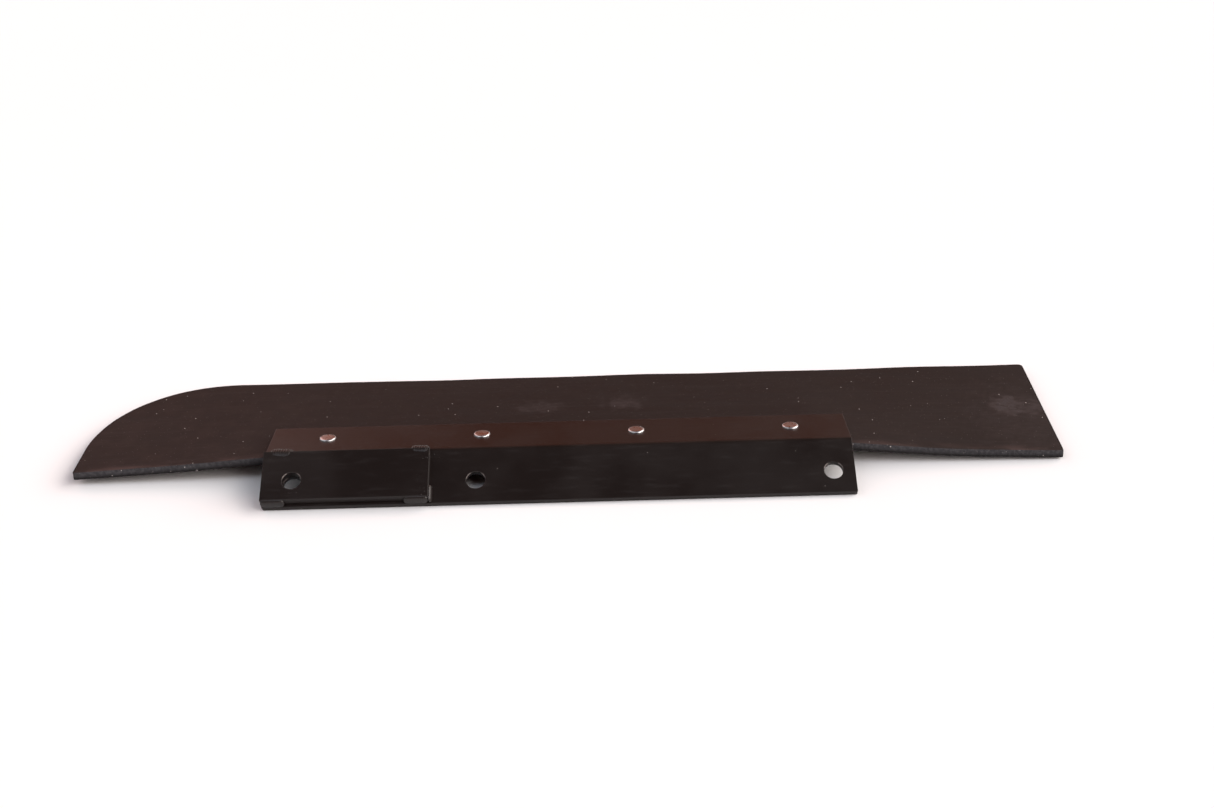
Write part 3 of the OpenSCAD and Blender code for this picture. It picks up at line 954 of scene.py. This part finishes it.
fine_dust = times(tree, specks(tree, 3.2 * MM, 0.3 * MM), 0.22)
cut_dust = times(tree, specks(tree, 5.2 * MM, 0.55 * MM, shift=1.7), cut_face)
cut_dust = times(tree, cut_dust, 0.7)
dust = math_of(tree, "MAXIMUM", fine_dust, cut_dust)
dust = math_of(tree, "MAXIMUM", dust, specks(tree, 10.5 * MM, 0.55 * MM, shift=4.0))
surface = coloured(tree, dust, surface, (0.62, 0.56, 0.54))
pit = times(tree, specks(tree, 21 * MM, 0.8 * MM, shift=11.0), 0.8)
surface = coloured(tree, pit, surface, (0.006, 0.004, 0.004))

matt = between(tree, blotch, 0.3, 0.7, 0.57, 0.63)
dull = times(tree, math_of(tree, "MAXIMUM", cut_face, chalky), 0.85)
matt = math_of(tree, "MAXIMUM", matt, dull)
bumps = relief(tree, grain, 0.030 * MM)
bumps = relief(tree, streak, 0.025 * MM, bumps)
bumps = relief(tree, times(tree, torn, cut_face), 0.25 * MM, bumps)
bumps = relief(tree, dust, 0.15 * MM, bumps)
wire(tree, shader, Base_Color=surface, Roughness=matt, Normal=bumps)

# %% [markdown]
# ## Satin black paint
#
# The bracket and its doubler are sprayed satin black. Up close such paint has three scales: a faint
# orange peel a millimetre or two wide, drifts of overspray that are a little matter, and grains of
# dust. At rims, ends and long edges the coat is thin, matt, and rubs through. The points there carry
# the value "edge", and noise breaks it into small chips. On the upper left and right arcs of each
# hole's front rim the bare steel is also a painted highlight, where the rim catches light. The welds
# get nearly the same paint.

# %% Mix the paint
def mix_paint(name, smooth, sheen_step, chip_share, peel_depth):
    """Satin black paint. smooth and sheen_step are its lowest roughness and how far it rises,
    chip_share how much of the edges shows steel, and peel_depth the orange peel's height."""
    material, tree, shader = start_finish(name, Specular_IOR_Level=0.44)
    drift = cloud(tree, 30 * MM, 3.0)
    peel = cloud(tree, 1.6 * MM, 1.0)
    rubbed = cloud(tree, 2.0 * MM, 3.0, long_x=6.0, shift=2.0)
    deep, light = (0.0078, 0.0044, 0.0036), (0.0100, 0.0062, 0.0052)
    colour = coloured(tree, between(tree, drift, 0.35, 0.65), deep, light)
    colour = coloured(tree, between(tree, rubbed, 0.55, 0.85, 0.0, 0.5), colour, (0.015, 0.0105, 0.0095))
    fine_grains = times(tree, specks(tree, 2.6 * MM, 0.2 * MM), 0.16)
    colour = coloured(tree, fine_grains, colour, (0.30, 0.27, 0.26))
    grains = times(tree, specks(tree, 15 * MM, 0.42 * MM, shift=6.0), 0.7)
    colour = coloured(tree, grains, colour, (0.35, 0.32, 0.31))
    chips = between(tree, cloud(tree, 1.1 * MM, 4.0, shift=8.0), 0.83 - chip_share, 0.89 - chip_share)
    edge = mark_of(tree, "edge")
    # Painted highlight and wear: the two upper arcs of each hole's rim (edge above 1.2) show bare steel.
    rim_wear_and_glint = between(tree, edge, 1.2, 1.9)
    rim_wear_and_glint = times(tree, rim_wear_and_glint, between(tree, rubbed, 0.35, 0.55, 0.35, 0.9))
    bare_steel_and_rim_glint = math_of(tree, "MAXIMUM", rim_wear_and_glint, times(tree, edge, chips))
    colour = coloured(tree, bare_steel_and_rim_glint, colour, (0.22, 0.19, 0.18))
    gloss = between(tree, drift, 0.3, 0.7, smooth, smooth + sheen_step)
    gloss = math_of(tree, "ADD", gloss, between(tree, rubbed, 0.5, 0.9, 0.0, 0.12))
    thin_coat = times(tree, math_of(tree, "MINIMUM", edge, 1.0), 0.28)
    gloss = math_of(tree, "ADD", gloss, thin_coat)
    bumps = relief(tree, peel, peel_depth)
    bumps = relief(tree, cloud(tree, 0.35 * MM, 1.0), 0.0018 * MM, bumps)
    bumps = relief(tree, bare_steel_and_rim_glint, -0.03 * MM, bumps)
    wire(tree, shader, Base_Color=colour, Metallic=times(tree, bare_steel_and_rim_glint, 0.7), Roughness=gloss, Normal=bumps)
    return material


paint_finish = mix_paint("satin_black_paint", 0.30, 0.07, 0.13, 0.012 * MM)
weld_finish = mix_paint("painted_weld_steel", 0.30, 0.08, 0.10, 0.008 * MM)

# %% [markdown]
# ## Zinc on the rivets and washers
#
# Rivets are tumbled in barrels while they are plated, so their zinc is bright but never a mirror: it
# is cloudy, dented and finely scratched.

# %% Mix the zinc
zinc_finish, tree, shader = start_finish("tumbled_zinc", Metallic=1.0)
film = cloud(tree, 3.0 * MM, 3.0)
dent = cloud(tree, 1.2 * MM, 2.0, shift=2.0)
scratch = cloud(tree, 0.18 * MM, 2.0, long_x=9.0, shift=4.0)
colour = coloured(tree, between(tree, film, 0.35, 0.65), (0.53, 0.52, 0.52), (0.66, 0.66, 0.67))
colour = coloured(tree, between(tree, scratch, 0.62, 0.8, 0.0, 0.5), colour, (0.42, 0.37, 0.35))
gloss = between(tree, film, 0.3, 0.7, 0.36, 0.24)
bumps = relief(tree, scratch, 0.003 * MM, relief(tree, dent, 0.008 * MM))
wire(tree, shader, Base_Color=colour, Roughness=gloss, Normal=bumps)

# %% Dress the pieces
finishes = {"rubber": rubber_finish, "black_paint": paint_finish, "zinc": zinc_finish,
            "painted_weld": weld_finish}
for piece in [flap, bracket, doubler_plate, spatter, *rivets, *washers, *beads]:
    piece.data.materials.append(finishes[piece["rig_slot"]])
    print(piece.name, "wears", piece.data.materials[0].name)

# %% [markdown]
# ## Floor and light
#
# A black part on a white floor needs light that is shaped by what the black should mirror. The flange
# and the rubber lean back and mirror what is low behind them: a dim, warm wall that grows lighter
# to both sides. The web and the doubler lean forward and mirror the zenith, which stays dark. So the
# light comes from the sides, as from the walls of a light tent, and from a band high in front. Low in
# front and behind, the tent has a dim gap.
# Most of it comes from the right, where it reaches the floor behind the right bolt hole. Behind the
# other two the floor stays dark. Lamps would fade along the floor and leave bright shapes in the
# paint. Walls that are painted into the world around the part do neither, and their soft borders keep
# the shadows soft.

# %% Lay the floor
floor_half = 40.0
floor_mesh = bpy.data.meshes.new("floor")
floor_mesh.from_pydata([(-floor_half, -floor_half, 0), (floor_half, -floor_half, 0),
                        (floor_half, floor_half, 0), (-floor_half, floor_half, 0)], [], [(0, 1, 2, 3)])
floor = bpy.data.objects.new("floor", floor_mesh)
bpy.context.scene.collection.objects.link(floor)
floor_finish, tree, shader = start_finish("pale_floor", Roughness=0.8, Specular_IOR_Level=0.2)
floor_white = coloured(tree, cloud(tree, 0.4, 2.0), (0.925, 0.93, 0.935), (0.94, 0.945, 0.95))
wire(tree, shader, Base_Color=floor_white)
floor_mesh.materials.append(floor_finish)

# %% Paint the light tent
world = bpy.data.worlds.new("light_tent")
bpy.context.scene.world = world
world.use_nodes = True
tree = world.node_tree
toward = put(tree, "TexCoord", {}, "Generated")
toward_x, toward_y, toward_z = (put(tree, "SeparateXYZ", {"Vector": toward}, axis) for axis in "XYZ")
in_degrees = math.degrees(1)
turn = math_of(tree, "ARCTAN2", toward_x, times(tree, toward_y, -1.0))
turn = times(tree, in_degrees, turn)
climb = times(tree, in_degrees, math_of(tree, "ARCSINE", toward_z))


def wall(turn_from, turn_to, climb_from, climb_to, soft=7.0):
    """1 on a patch of the tent and 0 outside, with borders that fade over 2 * soft degrees. Turns are
    degrees from the front (-Y), positive to the right, and climbs are degrees above the floor."""
    inside = 1.0
    for angle, low, high in ((turn, turn_from, turn_to), (climb, climb_from, climb_to)):
        inside = times(tree, inside, between(tree, angle, low - soft, low + soft))
        inside = times(tree, inside, between(tree, angle, high - soft, high + soft, 1.0, 0.0))
    return inside


walls = {"all round": ((-200, 200, 12, 45), (0.28, 0.07, 0.03)),
         "behind on the left": ((-165, -130, 12, 45), (1.90, 1.15, 1.05)),
         "behind on the right": ((130, 165, 12, 45), (1.50, 1.10, 1.00)),
         "gap in front": ((-28, 28, 12, 50), (0.10, 0.05, 0.04)),
         "left": ((-130, -30, 12, 50), (0.85, 0.85, 0.88)),
         "right": ((30, 130, 12, 50), (4.80, 4.45, 4.25)),
         "high in front": ((-90, 90, 50, 66), (1.60, 1.66, 1.85))}
glow = (0.02, 0.02, 0.02)
for where, (patch, colour) in walls.items():
    glow = coloured(tree, wall(*patch), glow, colour)
    print("wall", where, "has the turns and climbs", patch)
tree.links.new(glow, tree.nodes["Background"].inputs["Color"])
bpy.context.scene.view_settings.view_transform = "Standard"
